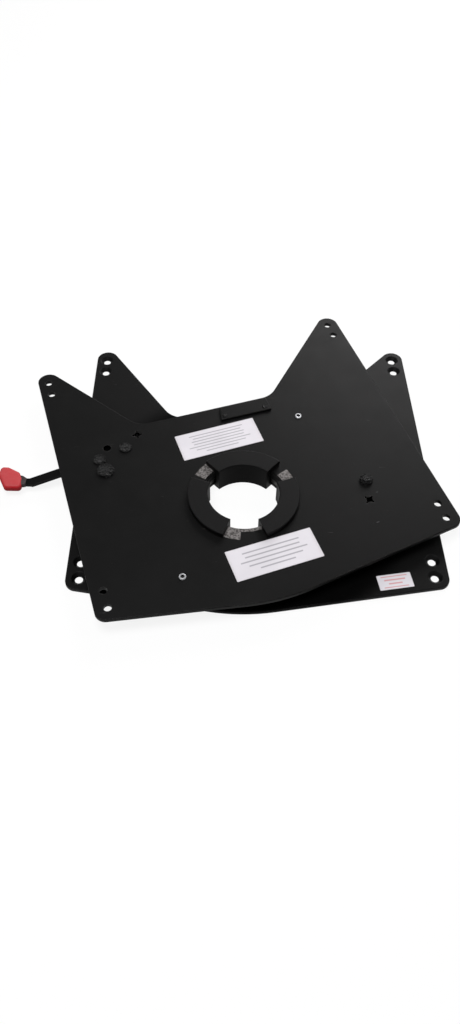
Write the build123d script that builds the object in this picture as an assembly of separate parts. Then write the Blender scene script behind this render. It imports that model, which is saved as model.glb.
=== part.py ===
"""Swivel seat base for a caravan or camper seat.

Two flat plates of the same outline are joined by a three-part hub. The lower plate is screwed to the seat box,
the upper one carries the seat and turns on the hub. A lever between them drops a pin into a notched disc.

Millimetres. Z is up, the origin is on the swivel axis at the underside of the lower plate. X runs along the
straight rear edge between the two ears, Y points to the ears. Places on the upper plate are given with the
plates in line and are then turned to the half-open position of the seat.
"""
from build123d import *
from math import acos, asin, atan2, cos, degrees, hypot, pi, radians, sin, sqrt
import os

# Stack heights
plate_thickness = 5.0
plate_gap = 14.7
running_gap = 0.3
glide_thickness = 2.0
flange_thickness = 5.0

# Plate outline, as reaches from the swivel axis
left_reach = 196.0
right_reach = 224.0
corner_reach = 111.0
apex_reach = 145.6
apex_offset = -5.0
waist_reach = 146.0
waist_left = 88.3
waist_right = 84.8
left_ear_reach = 300.5
right_ear_reach = 288.6
side_lean = 3.2
ear_radius = 13.5
corner_radius = 12.5
waist_radius = 28.0
apex_radius = 220.0
edge_chamfer = 0.6

# Fixing holes
ear_hole_inset_left = 15.8
ear_hole_inset_right = 17.2
ear_hole_inset_rear = 35.1
front_hole_inset_left = 14.6
front_hole_inset_right = 15.3
front_hole_inset_front = 12.4
hole_pair_pitch = 21.5
fixing_hole_diameter = 9.0
countersink_diameter = 16.5

# Hub and what turns on it
hub_bore_radius = 41.2
hub_wall_radius = 47.0
hub_foot_radius = 51.0
hub_flange_radius = 64.5
hub_edge_chamfer = 0.8
rear_segment_angles = (47.5, 132.5)
left_segment_angles = (159.5, 248.0)
right_segment_angles = (-67.5, 20.5)
bush_wall = 1.9
bush_flange_radius = 72.0
fit_play = 0.08
seat_play = 0.05
flange_glide_inset = 1.2

# Lock disc
lock_disc_radius = 118.0
lock_disc_thickness = 5.0
notch_count = 4
notch_depth = 7.0
notch_play = 0.3
disc_rivet_count = 4
disc_rivet_circle = 92.0
disc_rivet_diameter = 8.0

# Square-neck bolts of the upper plate
bolt_diameter = 8.0
bolt_square = 8.0
square_play = 0.3
square_relief_radius = 1.3
spare_square = 7.0
small_head_diameter = 16.0
small_head_height = 3.2
tall_head_height = 6.8
pivot_head_diameter = 21.7
pivot_head_height = 5.2
nut_across_flats = 13.0
nut_height = 5.0

# Places on the upper plate
pivot_inset = 53.0
pivot_row = 85.0
stop_offset = (-3.0, 19.0)
post_offset = (31.0, 28.7)
round_hole_offset = (9.7, 34.9)
round_hole_diameter = 9.5
left_spare_offset = (49.7, 45.7)
left_spare_angle = 40.0
glide_disc_gap = 13.3
glide_row = -20.5
right_spare_offset = (-8.0, -27.9)
right_spare_angle = -10.0
right_adjuster_inset = (12.2, 16.9)
left_adjuster_inset = (20.9, 32.3)
swivel_rest_angle = 17.4

# Lever
lever_thickness = 4.0
lever_washer_thickness = 1.0
lever_head_radius = 27.0
latch_arm_width = 15.0
latch_eye_radius = 9.0
latch_pin_diameter = 8.0
latch_pin_clearance = 1.0
lever_pull_angle = 6.0
handle_width = 11.2
handle_offset = 20.0
handle_bend_start = 0.0
handle_bend_end = 33.0
handle_sweep_angle = 20.0
tongue_length = 30.0
tongue_width = 9.4
lever_blend_radius = 5.0
handle_drop = 5.2

# Knob, its outline as reaches along the tongue and offsets to the rear of it
knob_outline = (
    (10.3, -11.3),
    (30.0, -11.7),
    (41.0, 8.0),
    (39.2, 20.3),
    (30.2, 20.0),
    (16.3, 12.8),
    (11.0, 3.0),
)
knob_thickness = 11.0
knob_chamfer = 3.0
knob_corner_radius = 4.5
knob_throat_reach = 6.0
knob_throat_width = 15.0
knob_throat_wall = 0.8
knob_throat_thickness = 7.4

# Pivot parts
sleeve_wall = 2.0
sleeve_collar = 1.1
retainer_thickness = 1.0
retainer_radius = 10.0
pivot_nut_height = 3.2

# Return spring
spring_wire = 1.2
spring_wire_sides = 8
spring_coil_radius = 8.6
spring_pitch = 1.35
spring_turns = 1
spring_hook_reach = 34.0
spring_leg_overrun = 6.0
spring_post_diameter = 6.0

# Glide and adjusters
glide_block_radius = 13.0
glide_recess_play = 0.4
adjuster_diameter = 8.0
adjuster_proud = 1.5
adjuster_socket = 4.0
adjuster_socket_depth = 4.0
adjuster_nut_height = 6.5
adjuster_pad_radius = 6.0
adjuster_pad_height = 4.0
adjuster_tip_depth = 1.3

# Strip, rivets, labels
strip_start = 11.5
strip_length = 65.5
strip_width = 20.5
strip_end_slant = 4.0
strip_setback = 4.4
strip_thickness = 3.0
strip_rivet_diameter = 6.5
strip_rivet_height = 1.0
strip_rivet_inset = 6.5
strip_rivet_forward = 4.0
label_length = 101.0
label_width = 41.0
label_thickness = 0.2
label_corner_radius = 1.0
rear_label_gap = 6.6
rear_label_angle = 1.3
front_label_place = (6.3, -87.5)
front_label_angle = 2.1
sticker_inset_right = 60.2
sticker_inset_front = 6.8
sticker_length = 38.2
sticker_width = 19.0
sticker_angle = 8.5

# Heights worked out from the stack
lower_top = plate_thickness
upper_bottom = plate_thickness + plate_gap
upper_top = upper_bottom + plate_thickness
glide_bottom = upper_top + running_gap
flange_bottom = glide_bottom + glide_thickness
hub_top = flange_bottom + flange_thickness
disc_top = lower_top + lock_disc_thickness
bush_flange_bottom = upper_bottom - glide_thickness
spacer_top = bush_flange_bottom - running_gap
lever_top = upper_bottom - lever_washer_thickness
lever_bottom = lever_top - lever_thickness
glide_floor = lower_top + running_gap
bush_inner_radius = hub_wall_radius + fit_play
plate_bore_radius = bush_inner_radius + bush_wall

# Places worked out from the outline, with the plates in line
pivot_place = (pivot_inset - left_reach, pivot_row)
glide_place = (lock_disc_radius + glide_disc_gap + glide_block_radius, glide_row)
# The adjusters sit in two corners of the square around the lock disc
adjuster_places = (
    (lock_disc_radius - right_adjuster_inset[0], lock_disc_radius - right_adjuster_inset[1]),
    (left_adjuster_inset[0] - lock_disc_radius, left_adjuster_inset[1] - lock_disc_radius),
)
strip_row = waist_reach - strip_setback - strip_width / 2
rear_label_place = (0.0, strip_row - strip_width / 2 - rear_label_gap - label_width / 2)
sticker_place = (right_reach - sticker_inset_right, sticker_inset_front - corner_reach)


def beside(place, offset):
    """Place at an offset from another place."""
    return (place[0] + offset[0], place[1] + offset[1])


stop_place = beside(pivot_place, stop_offset)
post_place = beside(pivot_place, post_offset)
round_hole_place = beside(pivot_place, round_hole_offset)
left_spare_square = beside(pivot_place, left_spare_offset)
right_spare_square = beside(glide_place, right_spare_offset)
handle_line = pivot_row + handle_offset
handle_bend_inner = left_reach + handle_bend_start
handle_bend_outer = left_reach + handle_bend_end


def at(place, height=0.0):
    """Location of a point of the plate at a height."""
    return Location((place[0], place[1], height))


def rod(place, radius, bottom, top):
    """Upright cylinder between two heights."""
    height = top - bottom
    return at(place, bottom) * Cylinder(radius, height, align=(Align.CENTER, Align.CENTER, Align.MIN))


def tube(place, inner, outer, bottom, top):
    """Upright tube between two heights."""
    return rod(place, outer, bottom, top) - rod(place, inner, bottom, top)


def prism(face, bottom, top):
    """Flat face in the XY plane raised between two heights."""
    return extrude(Pos(0, 0, bottom) * face, amount=top - bottom)


def hexagon(place, across_flats, bottom, top):
    """Upright hexagonal prism."""
    return prism(at(place) * RegularPolygon(across_flats / 2, 6, major_radius=False), bottom, top)


def top_edges(solid):
    """Outline of the highest level face."""
    return solid.faces().filter_by(Axis.Z).sort_by(Axis.Z)[-1].outer_wire().edges()


def bottom_edges(solid):
    """Outline of the lowest level face."""
    return solid.faces().filter_by(Axis.Z).sort_by(Axis.Z)[0].outer_wire().edges()


def plate_outline():
    """Face with the outline that both plates share."""
    corners = (
        (-left_reach, -corner_reach),
        (apex_offset, -apex_reach),
        (right_reach, -corner_reach),
        (right_reach - side_lean, right_ear_reach),
        (waist_right, waist_reach),
        (-waist_left, waist_reach),
        (-left_reach + side_lean, left_ear_reach),
    )
    rounds = (
        corner_radius,
        apex_radius,
        corner_radius,
        ear_radius,
        waist_radius,
        waist_radius,
        ear_radius,
    )
    return make_face(FilletPolyline(*corners, radius=rounds, close=True))


def fixing_places():
    """Centres of the eight fixing holes, two near each corner."""
    ear_columns = (ear_hole_inset_left - left_reach, right_reach - ear_hole_inset_right)
    front_columns = (front_hole_inset_left - left_reach, right_reach - front_hole_inset_right)
    ear_row = right_ear_reach - ear_hole_inset_rear
    front_row = front_hole_inset_front - corner_reach
    ears = [(column, row) for column in ear_columns for row in (ear_row, ear_row - hole_pair_pitch)]
    fronts = [(column, row) for column in front_columns for row in (front_row, front_row + hole_pair_pitch)]
    return ears + fronts


def relieved_square(place, side, angle=0.0):
    """Square hole for a bolt neck, with a round relief in each corner."""
    square = Rectangle(side, side)
    for corner in square.vertices():
        square += Pos(corner.X, corner.Y) * Circle(square_relief_radius)
    return at(place) * Rot(0, 0, angle) * square


def blank_plate(bottom):
    """Plate with its outer edges broken, before its own holes."""
    plate = prism(plate_outline(), bottom, bottom + plate_thickness)
    return chamfer(bottom_edges(plate) + top_edges(plate), edge_chamfer)


def lower_plate():
    """Lower plate: countersunk fixing holes, a bore for the hub feet and holes for the disc rivets."""
    plate = blank_plate(0.0)
    plate -= rod((0, 0), hub_foot_radius + seat_play, 0.0, lower_top)
    sink_depth = (countersink_diameter - fixing_hole_diameter) / 2
    sink = Cone(
        fixing_hole_diameter / 2,
        countersink_diameter / 2,
        sink_depth,
        align=(Align.CENTER, Align.CENTER, Align.MAX),
    )
    for place in fixing_places():
        plate -= rod(place, fixing_hole_diameter / 2, 0.0, lower_top)
        plate -= at(place, lower_top) * sink
    for place in disc_rivet_places():
        plate -= rod(place, disc_rivet_diameter / 2 + seat_play, 0.0, lower_top)
    return plate


def upper_plate():
    """Upper plate: plain fixing holes, the bush bore and the holes of the bolts, spares and adjusters."""
    plate = blank_plate(upper_bottom)
    plate -= rod((0, 0), plate_bore_radius + seat_play, upper_bottom, upper_top)
    for place in fixing_places():
        plate -= rod(place, fixing_hole_diameter / 2, upper_bottom, upper_top)
    for place in adjuster_places:
        plate -= rod(place, adjuster_diameter / 2 + seat_play, upper_bottom, upper_top)
    plate -= rod(round_hole_place, round_hole_diameter / 2, upper_bottom, upper_top)
    plate -= rod(post_place, spring_post_diameter / 2 + seat_play, upper_bottom, upper_top)
    neck_side = bolt_square + square_play
    squares = [relieved_square(place, neck_side) for place in (pivot_place, stop_place, glide_place)]
    squares.append(relieved_square(left_spare_square, spare_square, left_spare_angle))
    squares.append(relieved_square(right_spare_square, spare_square, right_spare_angle))
    for square in squares:
        plate -= prism(square, upper_bottom, upper_top)
    return plate


def disc_rivet_places():
    """Centres of the rivets through the lower plate and the lock disc."""
    step = 360 / disc_rivet_count
    turns = [radians(step * (index + 0.5)) for index in range(disc_rivet_count)]
    return [(disc_rivet_circle * cos(turn), disc_rivet_circle * sin(turn)) for turn in turns]


def hub_segment(span):
    """One arc of the hub: a foot in the lower plate, a wall and a flange over the upper plate."""
    start, end = span
    profile = make_face(
        Polyline(
            (hub_bore_radius, 0, 0),
            (hub_foot_radius, 0, 0),
            (hub_foot_radius, 0, lower_top),
            (hub_wall_radius, 0, lower_top),
            (hub_wall_radius, 0, flange_bottom),
            (hub_flange_radius, 0, flange_bottom),
            (hub_flange_radius, 0, hub_top - hub_edge_chamfer),
            (hub_flange_radius - hub_edge_chamfer, 0, hub_top),
            (hub_bore_radius + hub_edge_chamfer, 0, hub_top),
            (hub_bore_radius, 0, hub_top - hub_edge_chamfer),
            close=True,
        )
    )
    return Rot(0, 0, start) * revolve(profile, Axis.Z, revolution_arc=end - start)


def arc_strip(span, inner, outer, bottom, top):
    """Flat arc between two radii and two heights."""
    start, end = span
    section = make_face(
        Polyline((inner, 0, bottom), (outer, 0, bottom), (outer, 0, top), (inner, 0, top), close=True)
    )
    return Rot(0, 0, start) * revolve(section, Axis.Z, revolution_arc=end - start)


def flange_glides():
    """Plastic arcs under the three hub flanges."""
    inner = plate_bore_radius + flange_glide_inset
    outer = hub_flange_radius - flange_glide_inset / 2
    spans = (rear_segment_angles, left_segment_angles, right_segment_angles)
    return Compound(children=[arc_strip(span, inner, outer, glide_bottom, flange_bottom) for span in spans])


def lock_disc():
    """Disc on the lower plate with a notch for the latch pin at each lock position."""
    disc = tube((0, 0), hub_foot_radius + seat_play, lock_disc_radius, lower_top, disc_top)
    notch_radius = latch_pin_diameter / 2 + notch_play
    notch_centre = lock_disc_radius - notch_depth + notch_radius
    reach = notch_depth * 2
    notch = Circle(notch_radius) + Pos(reach / 2, 0) * Rectangle(reach, 2 * notch_radius)
    for index in range(notch_count):
        turn = latch_turn() + index * 360 / notch_count
        disc -= prism(Rot(0, 0, turn) * Pos(notch_centre, 0) * notch, lower_top, disc_top)
    for place in disc_rivet_places():
        disc -= rod(place, disc_rivet_diameter / 2 + seat_play, lower_top, disc_top)
    return disc


def disc_rivets():
    """Flush rivets that hold the lock disc."""
    return Compound(
        children=[rod(place, disc_rivet_diameter / 2, 0.0, disc_top) for place in disc_rivet_places()]
    )


def spacer_ring():
    """Ring on the lock disc that carries the bush flange."""
    return tube((0, 0), hub_foot_radius + seat_play, bush_flange_radius, disc_top, spacer_top)


def flanged_bush():
    """Plastic bush in the upper plate's bore, with a thrust flange under the plate."""
    sleeve = tube((0, 0), bush_inner_radius, plate_bore_radius, upper_bottom, upper_top)
    flange = tube((0, 0), bush_inner_radius, bush_flange_radius, bush_flange_bottom, upper_bottom)
    return sleeve + flange


def domed_head(place, diameter, height):
    """Mushroom head on the upper plate: a ball cap over a short straight rim."""
    rim = height * 0.2
    rise = height - rim
    ball = (diameter**2 / 4 + rise**2) / (2 * rise)
    profile = make_face(
        Line((0, 0), (diameter / 2, 0))
        + Line((diameter / 2, 0), (diameter / 2, rim))
        + RadiusArc((diameter / 2, rim), (0, height), -ball)
        + Line((0, height), (0, 0))
    )
    return at(place, upper_top) * revolve(Plane.XZ * profile, Axis.Z)


def square_neck_bolt(place, head_diameter, head_height, foot):
    """Bolt with a domed head, a square neck in the plate and a plain shank down to its foot."""
    head = domed_head(place, head_diameter, head_height)
    neck = prism(at(place) * Rectangle(bolt_square, bolt_square), upper_bottom, upper_top)
    shank = rod(place, bolt_diameter / 2, foot, upper_bottom)
    return head + neck + shank


def hex_nut(place, bottom, height):
    """Hexagonal nut on a bolt."""
    body = hexagon(place, nut_across_flats, bottom, bottom + height)
    return body - rod(place, bolt_diameter / 2 + seat_play, bottom, bottom + height)


def sleeve_radius():
    """Outer radius of the pivot sleeve, on which the lever turns."""
    return bolt_diameter / 2 + seat_play + sleeve_wall


def retainer_top():
    """Height of the upper face of the washer that closes the pivot."""
    return lower_top + latch_pin_clearance + pivot_nut_height + retainer_thickness


def pivot_bolt():
    """Large domed bolt that the lever turns on."""
    return square_neck_bolt(pivot_place, pivot_head_diameter, pivot_head_height, lower_top + latch_pin_clearance)


def pivot_washer():
    """Thin washer between the upper plate and the lever."""
    inner = bolt_diameter / 2 + seat_play
    return tube(pivot_place, inner, sleeve_radius() + sleeve_wall, lever_top, upper_bottom)


def pivot_sleeve():
    """Stepped sleeve: the lever turns on its upper part and rests on its collar."""
    inner = bolt_diameter / 2 + seat_play
    outer = sleeve_radius()
    step = lever_bottom - running_gap
    upper = tube(pivot_place, inner, outer, step, lever_top)
    return upper + tube(pivot_place, inner, outer + sleeve_collar, retainer_top(), step)


def pivot_retainer():
    """Washer under the sleeve that keeps the spring on it."""
    top = retainer_top()
    return tube(pivot_place, bolt_diameter / 2 + seat_play, retainer_radius, top - retainer_thickness, top)


def pivot_nut():
    """Thin nut under the retainer."""
    return hex_nut(pivot_place, retainer_top() - retainer_thickness - pivot_nut_height, pivot_nut_height)


def stop_bolt():
    """Domed bolt whose shank limits the lever by running in its curved slot."""
    return square_neck_bolt(stop_place, small_head_diameter, small_head_height, stop_nut_bottom() - running_gap)


def stop_nut_bottom():
    """Height of the underside of the stop bolt's nut."""
    return lever_bottom - running_gap - nut_height


def stop_nut():
    """Nut of the stop bolt, clear of the lever above it."""
    return hex_nut(stop_place, stop_nut_bottom(), nut_height)


def spring_post():
    """Low domed rivet whose shank holds the fixed leg of the spring."""
    foot = retainer_top() - spring_wire / 2
    shank = rod(post_place, spring_post_diameter / 2, foot, upper_top)
    return domed_head(post_place, small_head_diameter, small_head_height) + shank


def glide_nut_bottom():
    """Height of the underside of the glide's nut, inside the glide block."""
    return lower_top + plate_gap * 0.2


def glide_bolt():
    """Tall domed bolt that holds the glide block."""
    return square_neck_bolt(glide_place, small_head_diameter, tall_head_height, glide_nut_bottom())


def glide_block():
    """Plastic block between the plates, bored for its bolt and recessed for the nut."""
    block = rod(glide_place, glide_block_radius, glide_floor, upper_bottom)
    block -= rod(glide_place, bolt_diameter / 2 + seat_play, glide_floor, upper_bottom)
    recess = nut_across_flats / sqrt(3) + glide_recess_play
    return block - rod(glide_place, recess, glide_floor, glide_nut_bottom() + nut_height)


def glide_nut():
    """Nut in the recess of the glide block."""
    return hex_nut(glide_place, glide_nut_bottom(), nut_height)


def adjuster_screw(place):
    """Headless screw with a hexagonal socket, a little proud of the plate."""
    top = upper_top + adjuster_proud
    foot = glide_floor + adjuster_pad_height - adjuster_tip_depth
    screw = rod(place, adjuster_diameter / 2, foot, top)
    screw = chamfer(top_edges(screw), adjuster_proud / 2)
    return screw - hexagon(place, adjuster_socket, top - adjuster_socket_depth, top)


def adjuster_nut(place):
    """Nut welded under the plate for an adjuster."""
    nut = hexagon(place, nut_across_flats, upper_bottom - adjuster_nut_height, upper_bottom)
    return nut - rod(place, adjuster_diameter / 2 + seat_play, upper_bottom - adjuster_nut_height, upper_bottom)


def adjuster_pad(place):
    """Plastic pad on the tip of an adjuster."""
    top = glide_floor + adjuster_pad_height
    pad = rod(place, adjuster_pad_radius, glide_floor, top)
    return pad - rod(place, adjuster_diameter / 2 + seat_play, top - adjuster_tip_depth, top)


def latch_ride_radius():
    """Distance of the latch pin from the swivel axis while it rides on the rim of the disc."""
    return lock_disc_radius + latch_pin_diameter / 2 + running_gap


def latch_turn():
    """Direction of the latch pin from the swivel axis, where the lever swings it straight in and out."""
    pivot_reach = hypot(*pivot_place)
    spread = degrees(acos(latch_ride_radius() / pivot_reach))
    return degrees(atan2(pivot_place[1], pivot_place[0])) - spread


def latch_place():
    """Centre of the latch pin."""
    turn = radians(latch_turn())
    return (latch_ride_radius() * cos(turn), latch_ride_radius() * sin(turn))


def direction(start, end):
    """Angle of the line from one place to another, in degrees."""
    return degrees(atan2(end[1] - start[1], end[0] - start[0]))


def distance(start, end):
    """Distance between two places."""
    return hypot(end[0] - start[0], end[1] - start[1])


def bar(start, end, width):
    """Flat strip of one width between two places, with square ends."""
    middle = ((start[0] + end[0]) / 2, (start[1] + end[1]) / 2)
    return at(middle) * Rot(0, 0, direction(start, end)) * Rectangle(distance(start, end), width)


def latch_swing():
    """Angle that drops the latch pin from the rim to the bottom of a notch."""
    return degrees(notch_depth / distance(pivot_place, latch_place()))


def stop_slot():
    """Curved slot in the lever for the stop bolt, long enough for the whole swing."""
    radius = distance(pivot_place, stop_place)
    centre_turn = direction(pivot_place, stop_place)
    end_play = degrees(running_gap / radius)
    first = centre_turn - lever_pull_angle - end_play
    swing = lever_pull_angle + latch_swing() + 2 * end_play
    arc = CenterArc((pivot_place[0], pivot_place[1]), radius, first, swing)
    return SlotArc(arc, bolt_diameter + 2 * running_gap)


def tongue_start():
    """Place where the handle turns back and becomes level."""
    return (-handle_bend_outer, handle_line)


def tongue_axis(reach):
    """Place on the centre line of the tongue, at a distance from its start."""
    turn = radians(180 - handle_sweep_angle)
    return (tongue_start()[0] + reach * cos(turn), tongue_start()[1] + reach * sin(turn))


def lever_plan():
    """Outline of the lever from above: head, latch arm and handle, before its holes."""
    head = at(pivot_place) * Circle(lever_head_radius)
    arm = bar(pivot_place, latch_place(), latch_arm_width)
    eye = at(latch_place()) * Circle(latch_eye_radius)
    handle = bar((pivot_place[0], handle_line), tongue_start(), handle_width)
    knuckle = at(tongue_start()) * Circle(tongue_width / 2)
    tongue = bar(tongue_start(), tongue_axis(tongue_length), tongue_width)
    plan = head + arm + eye + handle + knuckle + tongue
    grown = offset(plan, lever_blend_radius, kind=Kind.ARC)
    return offset(grown, -lever_blend_radius, kind=Kind.ARC)


def lever_side():
    """Side view of the lever: level inside, sloping down past the plate's edge, level in the knob."""
    inner = latch_place()[0] + 2 * latch_eye_radius
    outer = tongue_axis(tongue_length)[0] - handle_width
    top = lever_top
    low = lever_top - handle_drop
    line = Polyline(
        (inner, 0, top),
        (-handle_bend_inner, 0, top),
        (-handle_bend_outer, 0, low),
        (outer, 0, low),
        (outer, 0, low - lever_thickness),
        (-handle_bend_outer, 0, low - lever_thickness),
        (-handle_bend_inner, 0, lever_bottom),
        (inner, 0, lever_bottom),
        close=True,
    )
    return make_face(line)


def lever_arm():
    """Cranked lever cut from flat bar, with the pivot eye, the stop slot and the latch pin hole."""
    plan = prism(lever_plan(), lower_top, upper_bottom)
    breadth = 2 * (apex_reach + waist_reach)
    band = extrude(lever_side(), amount=breadth, both=True)
    lever = plan & band
    lever -= rod(pivot_place, sleeve_radius() + fit_play, lever_bottom, lever_top)
    lever -= rod(latch_place(), latch_pin_diameter / 2 + seat_play, lever_bottom, lever_top)
    return lever - prism(stop_slot(), lever_bottom, lever_top)


def latch_pin():
    """Pin in the end of the lever that drops into the notches."""
    pin = rod(latch_place(), latch_pin_diameter / 2, lower_top + latch_pin_clearance, lever_top)
    return chamfer(pin.edges().sort_by(Axis.Z)[0], latch_pin_clearance / 2)


def knob_middle():
    """Height of the middle of the knob and of the tongue in it."""
    return lever_top - handle_drop - lever_thickness / 2


def lever_knob():
    """Moulded grip pushed on the tongue, with a short throat round the tongue."""
    middle = knob_middle()
    tongue = at(tongue_start()) * Rot(0, 0, 180 - handle_sweep_angle)
    outline = tuple((reach, -rearward) for reach, rearward in knob_outline)
    face = tongue * make_face(FilletPolyline(*outline, radius=knob_corner_radius, close=True))
    grip = prism(face, middle - knob_thickness / 2, middle + knob_thickness / 2)
    grip = chamfer(bottom_edges(grip) + top_edges(grip), knob_chamfer)
    narrow = tongue_width / 2 + knob_throat_wall
    wide = knob_throat_width / 2
    root = tongue_length / 2
    funnel = Polyline(
        (knob_throat_reach, -narrow),
        (root, -wide),
        (root, wide),
        (knob_throat_reach, narrow),
        close=True,
    )
    throat = tongue * make_face(funnel)
    grip += prism(throat, middle - knob_throat_thickness / 2, middle + knob_throat_thickness / 2)
    pocket = bar(tongue_start(), tongue_axis(tongue_length + seat_play), tongue_width + 2 * seat_play)
    half_pocket = lever_thickness / 2 + seat_play
    return grip - prism(pocket, middle - half_pocket, middle + half_pocket)


def spring_exit_turn():
    """Direction in which the fixed leg leaves the coil so that it touches the post."""
    lateral = spring_coil_radius - spring_post_diameter / 2 - spring_wire / 2 - seat_play
    return direction(pivot_place, post_place) + degrees(asin(lateral / distance(pivot_place, post_place)))


def return_spring():
    """Torsion spring round the pivot sleeve: one leg on the post, the other hooked over the lever's arm."""
    start_turn = spring_exit_turn() - 90
    end_turn = direction(pivot_place, latch_place()) + 90
    turns = spring_turns + ((start_turn - end_turn) % 360) / 360
    height = spring_pitch * turns
    slope = spring_pitch / (2 * pi * spring_coil_radius)
    coil_top = lever_bottom - spring_wire / 2 - seat_play - slope * spring_hook_reach
    coil = Helix(spring_pitch, height, spring_coil_radius, lefthand=True)
    coil = at(pivot_place, coil_top - height) * Rot(0, 0, start_turn) * coil
    post_reach = distance(pivot_place, post_place) + spring_leg_overrun
    fixed_leg = Line((coil @ 0) - (coil % 0) * post_reach, coil @ 0)
    elbow = (coil @ 1) + (coil % 1) * spring_hook_reach
    tip = elbow + Vector(0, 0, lever_thickness)
    hook = FilletPolyline(coil @ 1, elbow, tip, radius=spring_wire)
    path = Wire(fixed_leg.edges() + coil.edges() + hook.edges())
    section = Plane(origin=path @ 0, z_dir=path % 0) * RegularPolygon(spring_wire / 2, spring_wire_sides)
    return sweep(section, path=path)


def waist_strip():
    """Packing strip on the rear edge of the upper plate, with one slanted end."""
    front = strip_row - strip_width / 2
    rear = strip_row + strip_width / 2
    end = strip_start + strip_length
    outline = Polyline(
        (strip_start, front),
        (end, front),
        (end, rear),
        (strip_start + strip_end_slant, rear),
        close=True,
    )
    strip = prism(make_face(outline), upper_top, upper_top + strip_thickness)
    return chamfer(top_edges(strip), edge_chamfer)


def strip_rivet_places():
    """Centres of the two rivet heads on the strip."""
    columns = (strip_start + strip_rivet_inset, strip_start + strip_length - strip_rivet_inset)
    return [(column, strip_row - strip_rivet_forward) for column in columns]


def strip_rivets():
    """Low rivet heads on the strip."""
    seat = upper_top + strip_thickness
    heads = []
    for place in strip_rivet_places():
        head = rod(place, strip_rivet_diameter / 2, seat, seat + strip_rivet_height)
        heads.append(chamfer(top_edges(head), strip_rivet_height / 2))
    return Compound(children=heads)


def flat_label(place, length, width, turn, bottom):
    """Thin label with rounded corners."""
    face = at(place) * Rot(0, 0, turn) * RectangleRounded(length, width, label_corner_radius)
    return prism(face, bottom, bottom + label_thickness)


def group(maker, places):
    """Identical pieces at several places, as one node."""
    return Compound(children=[maker(place) for place in places])


def turned(piece):
    """Piece of the upper assembly at the half-open position of the seat."""
    return Rot(0, 0, swivel_rest_angle) * piece


def base_pieces():
    """Pieces that stay on the seat box."""
    return {
        "lower_plate": lower_plate(),
        "rear_hub_segment": hub_segment(rear_segment_angles),
        "left_hub_segment": hub_segment(left_segment_angles),
        "right_hub_segment": hub_segment(right_segment_angles),
        "flange_glides": flange_glides(),
        "lock_disc": lock_disc(),
        "lock_disc_rivets": disc_rivets(),
        "spacer_ring": spacer_ring(),
        "lower_sticker": flat_label(sticker_place, sticker_length, sticker_width, sticker_angle, lower_top),
    }


def turntable_pieces():
    """Pieces that turn with the seat, with the plates in line."""
    return {
        "upper_plate": upper_plate(),
        "flanged_bush": flanged_bush(),
        "waist_strip": waist_strip(),
        "waist_strip_rivets": strip_rivets(),
        "pivot_bolt": pivot_bolt(),
        "pivot_washer": pivot_washer(),
        "pivot_sleeve": pivot_sleeve(),
        "pivot_retainer": pivot_retainer(),
        "pivot_nut": pivot_nut(),
        "stop_bolt": stop_bolt(),
        "stop_nut": stop_nut(),
        "spring_post": spring_post(),
        "return_spring": return_spring(),
        "glide_bolt": glide_bolt(),
        "glide_block": glide_block(),
        "glide_nut": glide_nut(),
        "adjuster_screws": group(adjuster_screw, adjuster_places),
        "adjuster_nuts": group(adjuster_nut, adjuster_places),
        "adjuster_pads": group(adjuster_pad, adjuster_places),
        "rear_label": flat_label(rear_label_place, label_length, label_width, rear_label_angle, upper_top),
        "front_label": flat_label(front_label_place, label_length, label_width, front_label_angle, upper_top),
    }


def lever_pieces():
    """Pieces that swing about the pivot bolt, with the plates in line."""
    return {
        "lever_arm": lever_arm(),
        "latch_pin": latch_pin(),
        "lever_knob": lever_knob(),
    }


os.makedirs("parts", exist_ok=True)
for name, piece in base_pieces().items():
    export_step(piece, f"parts/{name}.step")
for name, piece in (turntable_pieces() | lever_pieces()).items():
    export_step(turned(piece), f"parts/{name}.step")
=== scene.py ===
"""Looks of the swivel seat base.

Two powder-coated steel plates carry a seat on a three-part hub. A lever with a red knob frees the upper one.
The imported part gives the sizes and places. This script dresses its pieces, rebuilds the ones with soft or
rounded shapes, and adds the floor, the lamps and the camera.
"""

import logging
import math
from dataclasses import dataclass
from enum import Enum
from typing import Sequence

import bmesh
import bpy
from mathutils import Matrix, Vector

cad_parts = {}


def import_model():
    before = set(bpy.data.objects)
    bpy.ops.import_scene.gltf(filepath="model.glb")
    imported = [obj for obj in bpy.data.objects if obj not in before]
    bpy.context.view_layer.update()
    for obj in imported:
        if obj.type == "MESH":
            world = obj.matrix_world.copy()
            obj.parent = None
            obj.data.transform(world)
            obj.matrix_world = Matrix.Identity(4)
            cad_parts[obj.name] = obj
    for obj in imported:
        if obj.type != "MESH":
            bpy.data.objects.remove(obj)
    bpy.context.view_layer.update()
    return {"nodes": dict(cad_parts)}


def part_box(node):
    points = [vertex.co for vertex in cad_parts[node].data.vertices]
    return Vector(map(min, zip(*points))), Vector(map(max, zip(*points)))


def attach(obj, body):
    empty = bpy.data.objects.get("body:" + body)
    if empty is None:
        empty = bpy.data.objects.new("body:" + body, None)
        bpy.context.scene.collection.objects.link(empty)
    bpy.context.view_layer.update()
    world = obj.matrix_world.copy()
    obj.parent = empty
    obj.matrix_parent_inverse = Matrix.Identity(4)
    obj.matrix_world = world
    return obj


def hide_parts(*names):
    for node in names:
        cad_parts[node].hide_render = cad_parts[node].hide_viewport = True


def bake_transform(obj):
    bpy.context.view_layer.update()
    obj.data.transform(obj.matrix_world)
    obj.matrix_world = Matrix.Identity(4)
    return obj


LOG = logging.getLogger("swivel_base")

Colour = tuple[float, float, float]
Point = tuple[float, float]
Space = tuple[float, float, float]
Range = tuple[float, float]
Nodes = dict[str, bpy.types.Object]
Socket = bpy.types.NodeSocket

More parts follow.
